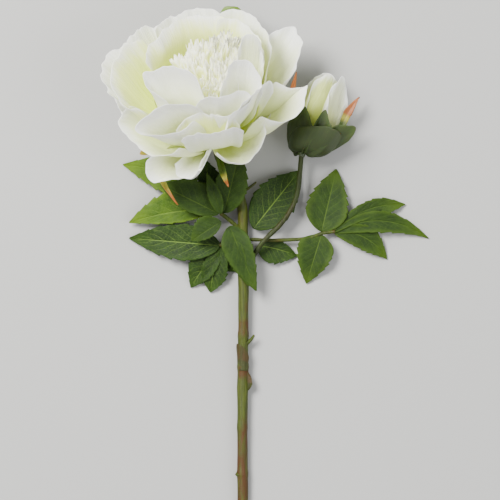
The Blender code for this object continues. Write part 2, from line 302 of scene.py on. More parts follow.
def leaf_ground(tree, veins, mottle, coordinates, deep, mid, light):
    """The green between a leaf's veins: mottled, and lighter at the margin, at the tip and in patches."""
    patches = noise(tree, coordinates, 30.0, 2.0)
    margin = product(tree, ramp(tree, veins["Margin"], 0.55, 1.05), 0.6)
    tip = product(tree, ramp(tree, veins["Along"], 0.6, 1.0), 0.8)
    patch = product(tree, ramp(tree, patches, 0.45, 0.75), 0.35)
    pale = larger(tree, larger(tree, margin, tip), patch)
    mottled = blend(tree, ramp(tree, mottle, 0.3, 0.7), deep, mid)
    return blend(tree, pale, mottled, light)


def leaf_finish(name, deep, mid, light, vein_colour, vein_amount):
    made, tree, shader = new_material(name, {"Roughness": 0.55, "Specular IOR Level": 0.16})
    veins = use_group(tree, LEAF_VEINS).outputs
    coordinates = shader_node(tree, "TexCoord").outputs["Object"]
    mottle = noise(tree, coordinates, 160.0, 5.0, 0.65)
    ground = leaf_ground(tree, veins, mottle, coordinates, deep, mid, light)
    net = product(tree, veins["Net"], 0.28 * vein_amount)
    netted = blend(tree, net, ground, vein_colour)
    lines = larger(tree, product(tree, veins["Veins"], 0.8), veins["Midrib"])
    lined = blend(tree, product(tree, lines, vein_amount), netted, vein_colour)
    tree.links.new(lined, shader.inputs["Base Color"])
    relief = maths(tree, "MULTIPLY_ADD", veins["Net"], -0.6, mottle)
    bump(tree, relief, 0.4, 0.0005, shader)
    return made


YELLOW_BLUSH = (0.32, 0.29, 0.02, 1)
ORANGE_TIP = (0.24, 0.064, 0.001, 1)


def sepal_finish(name, green, edge=0.6, tip_start=None):
    """Streaked green, paler by edge at its upper margin; it turns yellow and then orange at tip_start."""
    made, tree, shader = new_material(name, {
        "Roughness": 0.5, "Subsurface Weight": 0.1, "Subsurface Scale": 0.002,
    })
    place, across, along = surface_map(tree)
    streaks = stretched_noise(tree, place, (26.0, 1.6, 1.0), 4.0, 0.6)
    shaded = blend(tree, ramp(tree, streaks, 0.3, 0.7), multiplied(green, 0.75), green)
    upper = product(tree, ramp(tree, along, 0.45, 0.85), edge)
    outermost = larger(tree, from_midline(tree, across), along)
    margin = product(tree, ramp(tree, outermost, 0.72, 1.0), upper)
    colour = blend(tree, margin, shaded, multiplied(green, 2.2))
    if tip_start is not None:
        wavy = maths(tree, "ADD", along, maths(tree, "MULTIPLY_ADD", streaks, 0.1, -0.05))
        colour = blend(tree, ramp(tree, wavy, tip_start - 0.14, tip_start), colour, YELLOW_BLUSH)
        colour = blend(tree, ramp(tree, wavy, tip_start, tip_start + 0.10), colour, ORANGE_TIP)
    tree.links.new(colour, shader.inputs["Base Color"])
    bump(tree, streaks, 0.3, 0.0004, shader)
    return made


DARK_SPECK = (0.022, 0.018, 0.005, 1)


def brown_bands(tree, coordinates, brown_from, rings):
    """How brown a stem is: in patches, more of them from brown_from on, and in its rings."""
    _, _, along = surface_map(tree)
    patches = stretched_noise(tree, coordinates, (60.0, 38.0, 60.0), 3.0, 0.55)
    lower = ramp(tree, along, brown_from - 0.06, brown_from + 0.10)
    share = ramp(tree, maths(tree, "MULTIPLY_ADD", lower, 0.28, patches), 0.50, 0.70)
    for middle, reach in rings:
        away = maths(tree, "ABSOLUTE", maths(tree, "SUBTRACT", along, middle))
        ring = opposite(tree, ramp(tree, away, 0.3 * reach, reach))
        share = larger(tree, share, ring)
    return share


def stem_finish(name, green, brown, amount, brown_from, rings=()):
    """Olive skin with fine streaks and specks, and brown patches as strong as amount.

    rings are brown bands round the stem: the share of the length where each lies, and its reach.
    """
    made, tree, shader = new_material(name, {"Roughness": 0.5, "Specular IOR Level": 0.25})
    coordinates = shader_node(tree, "TexCoord").outputs["Object"]
    streaks = stretched_noise(tree, coordinates, (800.0, 60.0, 800.0), 4.0, 0.6)
    specks = noise(tree, coordinates, 1400.0, 2.0)
    mottle = stretched_noise(tree, coordinates, (330.0, 70.0, 330.0), 4.0, 0.6)
    mottle = maths(tree, "MULTIPLY_ADD", ramp(tree, mottle, 0.40, 0.58), 0.65 * amount, 0.35 * amount)
    brown_share = product(tree, brown_bands(tree, coordinates, brown_from, rings), mottle)
    streaked = blend(tree, ramp(tree, streaks, 0.3, 0.7), multiplied(green, 0.45), green)
    browned = blend(tree, brown_share, streaked, brown)
    speck_share = product(tree, ramp(tree, specks, 0.58, 0.75), 0.5)
    tree.links.new(blend(tree, speck_share, browned, DARK_SPECK), shader.inputs["Base Color"])
    bump(tree, maths(tree, "ADD", streaks, specks), 0.6, 0.0007, shader)
    return made


OUTER_PETAL = petal_finish("outer_petal_white", 0.90, 0.85, throat=(0.68, 0.79, 0.05, 1))
MIDDLE_PETAL = petal_finish("middle_petal_white", 0.72, 0.75, throat=(0.68, 0.80, 0.06, 1))
INNER_PETAL = petal_finish("inner_petal_cream", 0.70, 0.80, throat=(0.68, 0.80, 0.06, 1))
# The deep and tuft finishes glow: painted light that lifts the shade inside the cup and between the straps.
DEEP_PETAL = petal_finish("deep_petal_green", 1.20, 1.0, throat=(0.78, 0.89, 0.04, 1), painted_glow=0.10)
# The soft finish is a copy with a deeper, slower throat tint: partly cream colour, partly painted shade.
SOFT_SHADED_PETAL = petal_finish("soft_petal_cream_and_shade", 1.15, 0.75, throat=(0.70, 0.80, 0.12, 1))
TUFT_PETAL = petal_finish("tuft_petal_cream", 1.25, 1.0, throat=(0.70, 0.78, 0.05, 1),
                          blade=CREAM_BLADE, painted_glow=0.52)
BUD_PETAL = petal_finish("bud_petal_cream", 1.6, 0.95, throat=(0.52, 0.62, 0.05, 1))
WHITE_BUD_PETAL = petal_finish("bud_petal_white", 0.95, 0.85, throat=(0.52, 0.60, 0.04, 1))
# Each leaf's deep, middle and light green, the colour of its veins, and how strong they are.
DARK_LEAF = leaf_finish("dark_leaf_green", (0.006, 0.018, 0.001, 1), (0.013, 0.033, 0.002, 1),
                        (0.030, 0.062, 0.003, 1), (0.055, 0.095, 0.008, 1), 0.6)
LEAF = leaf_finish("leaf_green", (0.002, 0.010, 0.001, 1), (0.005, 0.020, 0.001, 1),
                   (0.015, 0.042, 0.001, 1), (0.13, 0.21, 0.030, 1), 0.70)
RIGHT_LEAF = leaf_finish("right_leaf_green", (0.006, 0.018, 0.001, 1), (0.014, 0.035, 0.002, 1),
                         (0.044, 0.082, 0.003, 1), (0.07, 0.12, 0.012, 1), 0.6)
LIGHT_LEAF = leaf_finish("light_leaf_green", (0.014, 0.040, 0.002, 1), (0.034, 0.078, 0.002, 1),
                         (0.095, 0.160, 0.004, 1), (0.15, 0.24, 0.025, 1), 0.5)
GREEN_SEPAL = sepal_finish("green_sepal", (0.022, 0.039, 0.003, 1))
CUP_GREEN = sepal_finish("calyx_cup_green", (0.024, 0.041, 0.003, 1), edge=0.1)
# Each stem's green and brown, how strong the brown is, and from which share of the length there is more.
STEM = stem_finish("olive_stem", (0.050, 0.066, 0.002, 1), (0.050, 0.019, 0.001, 1), 1.0, 0.72,
                   rings=((0.485, 0.030), (0.600, 0.022)))
BUD_STALK = stem_finish("olive_stalk", (0.022, 0.034, 0.001, 1), (0.026, 0.014, 0.001, 1), 0.5, 1.2)
SHEATH = stem_finish("brown_sheath", (0.034, 0.040, 0.002, 1), (0.042, 0.020, 0.002, 1), 0.8, 0.4)
LEAF_STALK = stem_finish("yellow_green_stalk", (0.044, 0.064, 0.003, 1), (0.055, 0.027, 0.003, 1), 0.5, 0.9)


def orange_tipped(tip_start):
    return sepal_finish(f"orange_tipped_sepal_{tip_start}", (0.055, 0.100, 0.005, 1), tip_start=tip_start)


# -------- piece helpers
def deselect():
    bpy.ops.object.select_all(action="DESELECT")


def only(piece):
    """Makes the piece the only selected object, and the active one."""
    deselect()
    piece.select_set(True)
    bpy.context.view_layer.objects.active = piece


def new_sheet(name, columns, rows):
    """A flat square grid, and where each of its points lies: across -1 to 1, along 0 to 1."""
    deselect()
    bpy.ops.mesh.primitive_grid_add(x_subdivisions=columns, y_subdivisions=rows, size=2.0)
    piece = bpy.context.active_object
    piece.name = piece.data.name = name
    places = np.empty(len(piece.data.vertices) * 3)
    piece.data.vertices.foreach_get("co", places)
    places = places.reshape(-1, 3)
    return piece, places[:, 0], (places[:, 1] + 1.0) / 2.0


def set_points(piece, points):
    """Moves the piece's points to the given places, in millimetres."""
    piece.data.vertices.foreach_set("co", (points * MM).ravel())
    piece.data.update()


def apply_modifier(piece, kind, **settings):
    only(piece)
    made = piece.modifiers.new(kind.lower(), kind)
    for name, value in settings.items():
        setattr(made, name, value)
    bpy.ops.object.modifier_apply(modifier=made.name)


def give_wall(piece, thickness, rounds=0):
    """Makes a sheet solid, and then smooths it in the given number of rounds."""
    apply_modifier(piece, "SOLIDIFY", thickness=thickness * MM, offset=0.0)
    if rounds:
        apply_modifier(piece, "SUBSURF", levels=rounds, render_levels=rounds)


def join(pieces, name):
    deselect()
    for piece in pieces:
        piece.select_set(True)
    bpy.context.view_layer.objects.active = pieces[0]
    if len(pieces) > 1:
        bpy.ops.object.join()
    pieces[0].name = pieces[0].data.name = name
    return pieces[0]


def finish_piece(piece, finish, slot, *nodes):
    """Gives a piece its material and its body, and hides the nodes that it stands for; slot is not used."""
    only(piece)
    bpy.ops.object.shade_smooth()
    piece.data.materials.clear()
    piece.data.materials.append(finish)
    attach(piece, "root")
    if nodes:
        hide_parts(*nodes)


# -------- petals, set by their rims
class Flower:
    """A flower's base and axis, with the directions east and north across the axis.

    tilt leans the axis northwards from straight up, and swing turns it to the west; both are in degrees.
    """

    def __init__(self, base, tilt, swing, root_radius):
        self.base = np.array(base)
        tilt = math.radians(tilt)
        swing = math.radians(swing)
        self.axis = np.array(
            [-math.sin(tilt) * math.sin(swing), math.sin(tilt) * math.cos(swing), math.cos(tilt)]
        )
        self.east = np.array([math.cos(swing), math.sin(swing), 0.0])
        self.north = np.cross(self.axis, self.east)
        self.root_radius = root_radius

    def azimuth(self, points):
        """The points' angles round the axis, from east."""
        away = points - self.base
        return np.arctan2(away @ self.north, away @ self.east)

    def radial(self, azimuth):
        """The directions square to the axis at the given angles."""
        return np.cos(azimuth)[:, None] * self.east + np.sin(azimuth)[:, None] * self.north

    def outwards(self, chord, azimuth):
        """The directions square to each chord that point away from the axis."""
        radial = self.radial(azimuth)
        reach = np.sum(chord * radial, axis=1)
        away = (chord @ self.axis)[:, None] * radial - reach[:, None] * self.axis
        return away / np.linalg.norm(away, axis=1, keepdims=True)

    def place(self, east, north, rise):
        """The points this far east and north of the axis, and this far up it from the base."""
        across = east[:, None] * self.east + north[:, None] * self.north
        return self.base + across + rise[:, None] * self.axis


BLOOM = Flower(BLOOM_BASE, tilt=58.0, swing=11.0, root_radius=6.0)
BUD = Flower(BUD_BASE, tilt=90.0, swing=-21.0, root_radius=2.6)


def smooth_route(points, pieces):
    """pieces + 1 points on a smooth curve through the given ones, evenly spread between each two."""
    points = np.array(points, float)
    points = np.vstack([2 * points[0] - points[1], points, 2 * points[-1] - points[-2]])
    route = []
    for before, start, end, after in zip(points, points[1:], points[2:], points[3:]):
        for t in np.arange(pieces) / pieces:
            route.append(
                0.5 * (2 * start + (end - before) * t + (2 * before - 5 * start + 4 * end - after) * t**2
                       + (3 * start - before - 3 * end + after) * t**3)
            )
    return np.array(route + [points[-2]])


def at_share(route, share):
    """The points at the given shares, 0 to 1, of a route's length."""
    steps = np.linalg.norm(np.diff(route, axis=0), axis=1)
    reached = np.concatenate([[0.0], np.cumsum(steps)]) / steps.sum()
    return np.stack([np.interp(share, reached, route[:, axis]) for axis in range(3)], axis=-1)


def ripple(across, waves, chance):
    """A gentle irregular wave, -1 to 1."""
    phases = chance.uniform(0.0, 2.0 * math.pi, 3)
    return (
        0.5 * np.sin(waves * across + phases[0])
        + 0.3 * np.sin(1.9 * waves * across + phases[1])
        + 0.2 * np.sin(3.7 * waves * across + phases[2])
    )


# The rim's notches, as shares of a petal's length, and the length that makes up for them.
COARSE_NOTCH = 0.030
FINE_NOTCH = 0.022
NOTCH_ALLOWANCE = 0.018
# The share of a petal's length from which its rim rolls.
ROLL_START = 0.62


def notched(across, along, chance):
    """The shares of the way along a petal, with notches cut into its rim."""
    coarse = COARSE_NOTCH * np.abs(ripple(across, 6.0, chance))
    fine = FINE_NOTCH * np.abs(ripple(across, 19.0, chance))
    return along * (1.0 + (NOTCH_ALLOWANCE - coarse - fine) * along**4)


def petal_push(across, along, belly, roll, ruffle, chance):
    """How far each point of a petal is pushed outwards by its belly, its roll and its ruffles."""
    near_rim = np.clip((along - ROLL_START) / (1.0 - ROLL_START), 0.0, 1.0)
    push = belly * np.sin(math.pi * along**0.75) - roll * np.sin(math.pi * near_rim)
    push = push + ruffle * ripple(across, 4.5, chance) * along**3
    push = push + 0.75 * ruffle * ripple(across, 13.0, chance) * along**1.2
    push = push + 0.30 * ruffle * ripple(across + 0.3 * along, 26.0, chance) * along**2
    return push + 0.5 * ruffle * ripple(across + 2.0 * along, 3.0, chance) * np.sin(math.pi * along)


def petal_points(flower, across, along, shape, spread, chance):
    """A petal from its root by the flower's axis to its rim; a smaller spread widens it sooner."""
    root_height, belly, roll, ruffle, rim = shape
    route = smooth_route(np.array(rim, float) + SHIFT, 12)
    rim_points = at_share(route, (across + 1.0) / 2.0)
    middle = at_share(route, np.array([0.5]))[0]
    middle_azimuth = flower.azimuth(middle)
    azimuth = flower.azimuth(rim_points)
    turn = (azimuth - middle_azimuth + math.pi) % (2.0 * math.pi) - math.pi
    lift = flower.base + root_height * flower.axis
    root_arc = lift + flower.root_radius * flower.radial(middle_azimuth + 0.5 * turn)
    root = lift + flower.root_radius * flower.radial(np.array([middle_azimuth]))[0]
    outwards = flower.outwards(rim_points - root_arc, azimuth)
    along = notched(across, along, chance)
    up = along[:, None]
    points = root + (middle - root) * up + (rim_points - middle) * up**spread
    points = points + (root_arc - root) * (1.0 - up)
    return points + petal_push(across, along, belly, roll, ruffle, chance)[:, None] * outwards


# Each petal: how high up the axis its root sits, its belly, which pushes its middle away from the axis, its
# roll, which turns its rim outwards, its ruffle, and the points that its rim runs through.
BLOOM_PETALS = {
    "outer_petal_west": (-3, 10, 2, 1.2, [
        (-90, 104, 52), (-99, 111, 50), (-105, 122, 46), (-103, 132, 41), (-97, 140, 37), (-87, 145, 33)]),
    "middle_petal_west": (2, 9, 1, 1.0, [
        (-78, 100, 72), (-89, 103, 68), (-96, 113, 62), (-98.5, 124, 58), (-95, 134, 54), (-89, 143, 49),
        (-78, 146, 46)]),
    "outer_petal_northwest": (-1, 9, 1, 1.0, [
        (-93, 139, 45), (-88, 146, 41), (-82.5, 152, 37), (-76, 155, 34), (-68, 155, 33), (-62, 151, 33)]),
    "middle_petal_north": (1, 10, 1, 1.0, [
        (-71, 152, 36), (-64, 160, 31), (-57, 163, 28), (-48, 166, 27), (-36, 166.5, 27), (-25, 163, 29)]),
    "inner_petal_north": (6, 12, 5, 1.0, [
        (-76, 130, 68), (-75.5, 139, 62), (-69, 148, 54), (-61, 155, 47), (-50, 160.5, 42),
        (-37, 162.5, 40), (-24, 160, 42)]),
    "middle_petal_northeast": (1, 10, 1, 1.0, [
        (-29, 164, 32), (-20, 166.5, 32), (-11, 163.5, 34), (-3.5, 157, 38), (1.5, 150, 43),
        (3.5, 142, 50), (1.5, 130, 58)]),
    "middle_petal_east": (4, 10, 2, 1.0, [
        (-31, 158, 46), (-23, 160, 45), (-15, 157, 47), (-8.5, 152, 51), (-3.5, 146, 56), (-1, 137, 62),
        (-2, 124, 68)]),
    "inner_petal_east": (8, 7, 0.5, 1.0, [
        (-17, 112, 68), (-18, 126, 71), (-17, 139, 74), (-12.5, 147.5, 76), (-6.5, 147, 74),
        (-2.5, 138, 67), (-1.5, 122, 62)]),
    "inner_petal_southeast": (9, 6, 1, 1.0, [
        (-30, 104, 79), (-28.5, 113, 81), (-25, 121.5, 82), (-22, 129.5, 83), (-16, 132, 82),
        (-9.5, 130, 80), (-4, 122, 78), (-1.5, 111, 75)]),
    "inner_petal_south": (8, 7, 1.0, 0.8, [
        (-45, 101, 83), (-41, 107, 86), (-34, 108.5, 88), (-28, 108, 88), (-18, 111.5, 87), (-9, 110, 84),
        (-12, 104, 84), (-19, 99, 84), (-27, 96, 83.5), (-35, 98, 83)]),
    "middle_petal_southeast": (3, 6, 0.5, 1.0, [
        (5, 112, 66), (3.5, 119, 72), (-3, 116, 78), (-8, 110, 84), (-16, 102, 88), (-22.5, 96, 88),
        (-24, 91, 86)]),
    "outer_petal_northeast": (-2, 4, -1, 1.0, [
        (1, 149, 34), (8, 153, 33), (18, 155.5, 32), (21.5, 149, 33), (24, 145.5, 34), (22, 136, 37),
        (17.5, 125, 40), (10, 117, 42)]),
    "outer_petal_east": (-2, 6, 1, 1.0, [
        (6, 119, 52), (15, 116, 52), (23, 115, 50), (27, 118, 52), (25.5, 110, 54), (24, 102, 57),
        (18, 96, 60), (8, 94, 62), (-3, 96, 64)]),
    "inner_petal_southwest": (8, 9, 1.5, 0.8, [
        (-62, 106, 79), (-70, 110.5, 78), (-76.5, 117, 77), (-78, 123.5, 78), (-72, 125, 80),
        (-64, 128, 82), (-56, 127.5, 84), (-50, 125, 85), (-44, 121, 86), (-41, 113, 87)]),
    "middle_petal_southwest": (5, 7, 1.0, 0.8, [
        (-42, 101, 88), (-49, 103, 89), (-57, 104.5, 88), (-65, 103, 85), (-73, 98, 81), (-80, 93, 77),
        (-83.5, 89, 75), (-80, 85.5, 74), (-71, 84, 76), (-61, 84.5, 78), (-53, 87.5, 80), (-45, 94, 82)]),
    "outer_petal_southwest": (0, 6, 1, 1.0, [
        (-85, 104, 62), (-92, 98, 58), (-93, 91, 56), (-88, 84, 56), (-82, 77.5, 58), (-73, 72.5, 60),
        (-63, 72, 64), (-55, 76, 68)]),
    "middle_petal_south": (1, 9, 1, 0.8, [
        (-54, 81, 78), (-48, 84, 82), (-38, 85.5, 85), (-28, 87, 86), (-19, 89, 84), (-13.5, 87, 80)]),
    "outer_petal_southeast": (-2, 4, -2, 1.0, [
        (-2, 97, 60), (0, 87, 58), (-2, 79, 57), (-7, 71.5, 57), (-15, 67, 58), (-24, 69, 60),
        (-31, 74, 64)]),
    "outer_petal_hanging": (-3, 0, -2, 1.8, [
        (-72, 75, 50), (-76, 67, 46), (-75.5, 59, 43), (-69, 54, 42), (-60, 57, 44), (-47, 58.5, 48),
        (-42, 65, 54), (-37, 75, 60)]),
    "outer_petal_north": (-5, 10, 2, 1.2, [
        (-84, 136, 16), (-76, 149, 10), (-62, 157, 6), (-48, 160, 4), (-34, 160, 4)]),
    "outer_petal_south": (-5, 10, 2, 1.2, [
        (-40, 161, 5), (-26, 161, 5), (-12, 156, 8), (0, 146, 12), (6, 132, 18)]),
}
# Small and hidden petals, which stand for no node of the frame.
BLOOM_EXTRAS = {
    "small_petal_south": (6, 11, 0.5, 1.2, [
        (-57, 88, 75), (-50, 95, 79), (-40, 98, 81), (-28, 97, 81), (-20, 95, 80), (-16, 90, 77)]),
    "small_petal_hanging": (-1, 1, -1, 1.6, [
        (-58, 68, 50), (-57, 61, 48), (-53, 57.5, 49), (-46, 58, 51), (-41, 64, 56), (-35, 76, 61)]),
    "under_petal_west": (-5, 10, 1, 1.0, [
        (-84, 88, 46), (-92, 98, 38), (-97, 112, 30), (-96, 126, 23), (-88, 138, 18)]),
    "under_petal_east": (-5, 8, 1, 1.0, [
        (4, 136, 17), (9, 124, 22), (9, 110, 30), (4, 98, 38), (-4, 88, 46)]),
}
BLOOM_SEPALS = {
    "sepal_north": (-6, 6, 0, 0.2, [
        (-34, 153, 14), (-28, 167, 20), (-21.5, 169.4, 22), (-15, 166, 20), (-9, 153, 16)]),
    "sepal_west": (-7, 1, 0, 0.1, [
        (-73, 82, 40), (-78, 77, 40), (-81, 73, 40), (-76, 73, 40), (-70, 76, 40)]),
}
# The share of the length at which each of these sepals turns orange; past 1 it only turns yellow.
SEPAL_TIPS = {"sepal_north": 1.15, "sepal_west": 0.95}

# Petals that are yellow green nearly to the rim, and petals whose throat colour fades slowly: that slow fade
# is partly their own colour and partly painted shade, for petals that lie in shade.
DEEP_PETALS = ("inner_petal_north", "middle_petal_east", "middle_petal_west", "small_petal_south")
SOFT_SHADED_PETALS = ("inner_petal_east", "middle_petal_northeast", "outer_petal_east", "outer_petal_southwest")


def bloom_finish(name):
    """A bloom petal's finish, which its whorl sets unless it is a deep or a soft petal."""
    if name in DEEP_PETALS:
        return DEEP_PETAL
    if name in SOFT_SHADED_PETALS:
        return SOFT_SHADED_PETAL
    whorls = {"inner": INNER_PETAL, "outer": OUTER_PETAL}
    return whorls.get(name.split("_")[0], MIDDLE_PETAL)


def make_petal(name, flower, shape, finish, seed, *nodes, slot="petal", thickness=PETAL_THICKNESS,
               columns=30, rows=24, spread=0.6):
    """A petal, or a broad sepal, that stands for the named nodes."""
    chance = np.random.default_rng(seed)
    piece, across, along = new_sheet(name, columns, rows)
    set_points(piece, petal_points(flower, across, along, shape, spread, chance))
    give_wall(piece, thickness, rounds=1)
    finish_piece(piece, finish, slot, *nodes)


def make_bloom_petals():
    for order, (node, shape) in enumerate(BLOOM_PETALS.items()):
        make_petal(node + "_blade", BLOOM, shape, bloom_finish(node), SEEDS["bloom_petal"] + order, node)
    for order, (name, shape) in enumerate(BLOOM_EXTRAS.items()):
        make_petal(name, BLOOM, shape, bloom_finish(name), SEEDS["bloom_extra"] + order)
    for order, (node, shape) in enumerate(BLOOM_SEPALS.items()):
        finish = orange_tipped(SEPAL_TIPS[node])
        make_petal(node + "_blade", BLOOM, shape, finish, SEEDS["bloom_sepal"] + order, node,
                   slot="sepal", thickness=SEPAL_THICKNESS, columns=10, rows=22)


BUD_PETALS = {
    "bud_petal_top": (5, 3.5, 0.5, 1.2, [
        (27, 96, 23), (27, 106, 25), (29, 115, 25), (33.5, 121.5, 23), (39.5, 124.6, 21), (44, 122, 18),
        (43.5, 112, 17), (42, 96, 18)]),
    "bud_petal_left": (3, 3.5, 0.5, 1.6, [
        (25.5, 92, 10), (24.5, 104, 13), (26.5, 115, 15), (31, 122, 15), (37.5, 125.6, 14),
        (44, 124.6, 13), (48, 118, 13)]),
    "bud_petal_right": (7, 4, 0.5, 1.4, [
        (40.5, 96, 26), (40, 106, 27), (42, 116, 26), (46.5, 121.5, 23), (50, 124, 20), (52, 122.5, 18),
        (52.5, 117, 15), (53, 106, 12), (51, 94, 8)]),
    "bud_petal_under": (3, 3, 0.5, 0.5, [
        (27, 94, 8), (28, 106, 6), (33, 115, 5), (41, 118, 5), (48, 112, 6), (50, 98, 8)]),
}
BUD_SEPALS = {
    "bud_sepal_left": (-1, 2.5, 0, 0.5, [
        (16.5, 88, 13), (14.5, 92.5, 16), (17, 97.5, 20), (21, 100, 24), (25.5, 104.5, 28),
        (28.5, 97, 30), (31, 88, 32)]),
    "bud_sepal_top": (-1, 3, 0, 0.4, [
        (28, 86, 29), (32, 94, 33), (38, 102, 32), (41, 94.5, 32), (44, 86, 27.5)]),
    "bud_sepal_right": (-1, 2, 0, 0.5, [
        (40, 88, 32), (44, 91.5, 30), (51, 92.5, 26), (58, 91, 22), (56, 85, 19), (50, 80, 15)]),
    "bud_sepal_under": (-1, 4, 0, 0.3, [
        (22, 84, 8), (22, 95, 5), (32, 101, 3), (44, 98, 3.5), (51, 87, 8)]),
}
# The cup that the sepals rise from.
CALYX_CUP = (-1, 3.5, 0, 0.2, [
    (18.5, 88, 14), (19.5, 90.5, 23), (24.5, 91.5, 30), (32, 91.5, 33.5), (39.5, 91, 33),
    (46, 88.5, 28.5), (50.5, 85, 19)])


def make_bud():
    for order, (node, shape) in enumerate(BUD_PETALS.items()):
        finish = WHITE_BUD_PETAL if node == "bud_petal_right" else BUD_PETAL
        make_petal(node + "_blade", BUD, shape, finish, SEEDS["bud_petal"] + order, node)
    for order, (node, shape) in enumerate(BUD_SEPALS.items()):
        make_petal(node + "_blade", BUD, shape, GREEN_SEPAL, SEEDS["bud_sepal"] + order, node,
                   slot="sepal", thickness=SEPAL_THICKNESS, columns=24, spread=0.62)
    make_petal("bud_calyx_cup", BUD, CALYX_CUP, CUP_GREEN, SEEDS["calyx_cup"],
               slot="sepal", thickness=SEPAL_THICKNESS, columns=24)


# -------- the bloom's tuft of narrow petals
# Where the straps start: how high up the axis, and how far from it.
TUFT_ROOT_HEIGHT = 11.5
TUFT_ROOT_RADIUS = 3.0
# Each clump: how many straps it has, where the middle of their tips lies east and north of the axis, how
# far the tips spread from there, and how high up the axis the tallest reaches.
TUFT_CLUMPS = {
    "main": {"straps": 200, "east": 10.5, "north": -3.0, "spread": 19.5, "top": 66.0},
    "west": {"straps": 50, "east": -8.0, "north": 3.0, "spread": 8.0, "top": 60.0},
}
STRAP_HEIGHT_RANGE = 14.0
# How much shorter a strap is for each millimetre that its tip leans south: the clump's face is domed.
TUFT_SHORTENING = 1.0
# The half width of the narrowest strap, and of the broadest in the west and in the east of a clump.
STRAP_NARROWEST = 1.7
STRAP_BROADEST_WEST = 5.2
STRAP_BROADEST_EAST = 3.4


def strap_points(across, along, clump, chance):
    """One strap, from the receptacle up and outwards, cupped, twisted, and ragged at its tip."""
    turn = chance.uniform(0.0, 2.0 * math.pi)
    away = clump["spread"] * math.sqrt(chance.uniform(0.0, 1.0))
    tip_east = clump["east"] + away * math.cos(turn)
    tip_north = clump["north"] + 0.9 * away * math.sin(turn)
    height = clump["top"] - chance.uniform(0.0, STRAP_HEIGHT_RANGE) + TUFT_SHORTENING * min(tip_north, 0.0)
    broadest = STRAP_BROADEST_WEST if tip_east < clump["east"] else STRAP_BROADEST_EAST
    half_width = chance.uniform(STRAP_NARROWEST, broadest)
    half_width = half_width * (0.25 + 0.75 * np.sin(0.62 * math.pi * along) ** 1.2)
    teeth = np.sin(chance.uniform(5.0, 10.0) * across + turn)
    rise = TUFT_ROOT_HEIGHT + (height - TUFT_ROOT_HEIGHT) * along
    rise = rise + along**5 * (chance.uniform(1.2, 3.4) * teeth - 2.8 * np.abs(across) ** 1.5)
    twist = chance.normal(0.0, 0.9) + chance.uniform(-0.8, 0.8) * along
    cupped = chance.uniform(-0.2, 0.8) * half_width * across**2
    sway = chance.uniform(-2.0, 2.0) * np.sin(math.pi * along) + 0.5 * teeth * along**2
    root_east = TUFT_ROOT_RADIUS * math.cos(turn)
    root_north = TUFT_ROOT_RADIUS * math.sin(turn)
    east = root_east + (tip_east - root_east) * along**1.4
    north = root_north + (tip_north - root_north) * along**1.4
    east = east + across * half_width * np.cos(twist) - (cupped + sway) * np.sin(twist)
    north = north + across * half_width * np.sin(twist) + (cupped + sway) * np.cos(twist)
    return BLOOM.place(east, north, rise)


def make_tuft():
    chance = np.random.default_rng(SEEDS["tuft"])
    straps = []
    for name, clump in TUFT_CLUMPS.items():
        for order in range(clump["straps"]):
            piece, across, along = new_sheet(f"tuft_strap_{name}_{order}", columns=8, rows=12)
            set_points(piece, strap_points(across, along, clump, chance))
            give_wall(piece, STRAP_THICKNESS)
            straps.append(piece)
    finish_piece(join(straps, "petaloid_tuft_straps"), TUFT_PETAL, "petal_centre", "petaloid_tuft")


# -------- leaves and narrow sepals
LEAF_TEETH = 8
TOOTH_DEPTH = 0.15
# How far a blade rises for each millimetre out from its midrib, how high its margin waves, and how deep the
# veins are pressed in.
BLADE_FOLD = 0.13
BLADE_WAVE = 0.6
VEIN_DEPTH = 0.3


def vein_ridge(across, along):
    """1 on the midrib and on the side veins, 0 between them."""
    side = np.abs(across)
    phase = VEIN_PAIRS * along - VEIN_SLOPE * side**0.8
    away = np.abs(phase % 1.0 - 0.5)
    side_veins = np.exp(-((away / 0.10) ** 2)) * (1.0 - side)
    return np.maximum(side_veins, np.exp(-((side / 0.05) ** 2)))


def blade_width(along, widest):
    """0 at the base and the tip and 1 at the widest place, with a drawn-out tip."""
    rising = np.sin(0.5 * math.pi * np.clip(along / widest, 0.0, 1.0)) ** 0.6
    falling = np.cos(0.5 * math.pi * np.clip((along - widest) / (1.0 - widest), 0.0, 1.0)) ** 0.95
    return 0.02 + 0.98 * rising * falling


def toothed_edge(across, along, teeth, chance):
    """The factor on a blade's width that cuts its saw teeth, or a slight wave if there are none."""
    saw = (teeth * along + 0.3 * ripple(6.0 * along, 1.0, chance)) % 1.0
    toothed = np.clip((along - 0.22) * 4.0, 0.0, 1.0) * np.clip((1.0 - along) * 12.0, 0.0, 1.0)
    return 1.0 + TOOTH_DEPTH * (0.5 - saw) * toothed * np.abs(across) ** 5


def blade_points(across, along, base, tip, half_widths, bend, widest, lift, teeth, chance):
    """A leaf blade folded along its midrib, with pressed-in veins.

    half_widths are left and right, seen from base to tip. bend curves the midrib to the left, and lift up.
    widest is the share of the length at which the blade is widest.
    """
    base = np.array(base) + SHIFT
    tip = np.array(tip) + SHIFT
    ahead = (tip - base) / np.linalg.norm(tip - base)
    side = np.cross([0.0, 0.0, 1.0], ahead)
    side /= np.linalg.norm(side)
    up = np.cross(ahead, side)
    edge = toothed_edge(across, along, teeth, chance)
    half_width = np.where(across > 0.0, half_widths[0], half_widths[1])
    offset = across * half_width * blade_width(along, widest) * edge
    arch = 4.0 * along * (1.0 - along)
    wave = np.sign(across) * ripple(6.0 * along, 1.0, chance) + ripple(8.0 * along, 1.0, chance)
    rise = lift * arch + BLADE_FOLD * np.abs(offset) + BLADE_WAVE * wave * across**2
    rise = rise - VEIN_DEPTH * vein_ridge(across, along)
    middle = base + along[:, None] * (tip - base) + (bend * arch)[:, None] * side
    return middle + offset[:, None] * side + rise[:, None] * up


